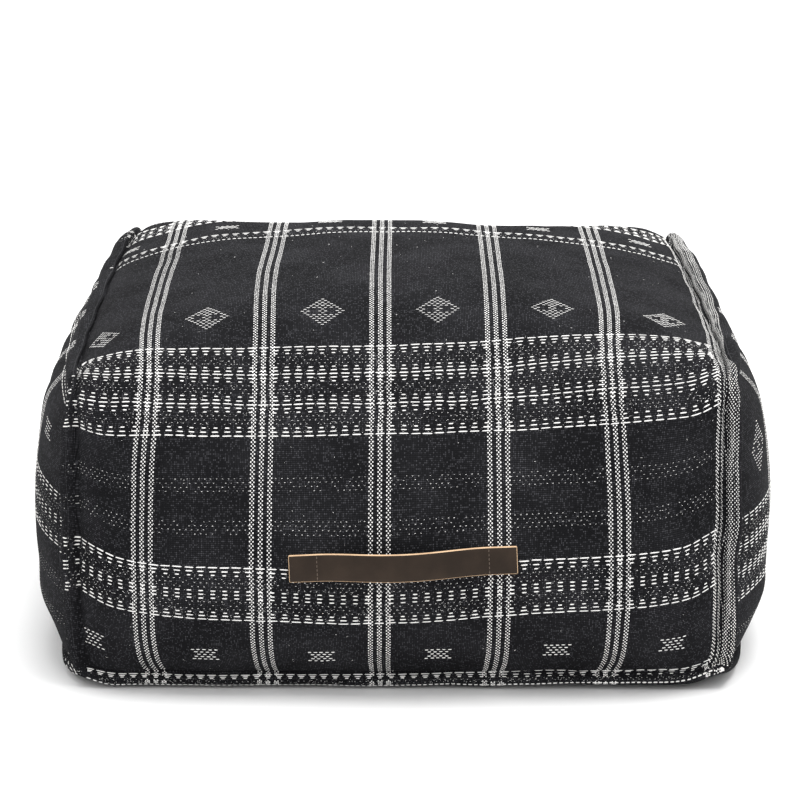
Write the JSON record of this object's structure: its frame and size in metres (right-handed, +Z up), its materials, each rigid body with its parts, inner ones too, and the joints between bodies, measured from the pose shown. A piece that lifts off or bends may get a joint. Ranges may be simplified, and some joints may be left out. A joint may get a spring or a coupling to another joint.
{
  "type": "cube pouf stool",
  "caption": "Low cube pouf of black hand-loomed cloth with woven white bands, pressed seam folds and a leather strap handle.",
  "frame": {"origin": "middle of the flat base, on the floor", "axes": "+Z up, -Y towards the front with the handle, +X to the right seen from the front"},
  "size_m": [0.7197, 0.7152, 0.3613],
  "materials": {
    "loomed_cloth": "matte hand-loomed black cloth with white extra-weft bands, dashes and dotted motifs",
    "handle_leather": "dark brown vegetable-tanned strap leather with a raw tan edge"
  },
  "bodies": {
    "root": {"pouf_cover": "loomed_cloth", "handle_strap": "handle_leather"}
  },
  "joints": []
}
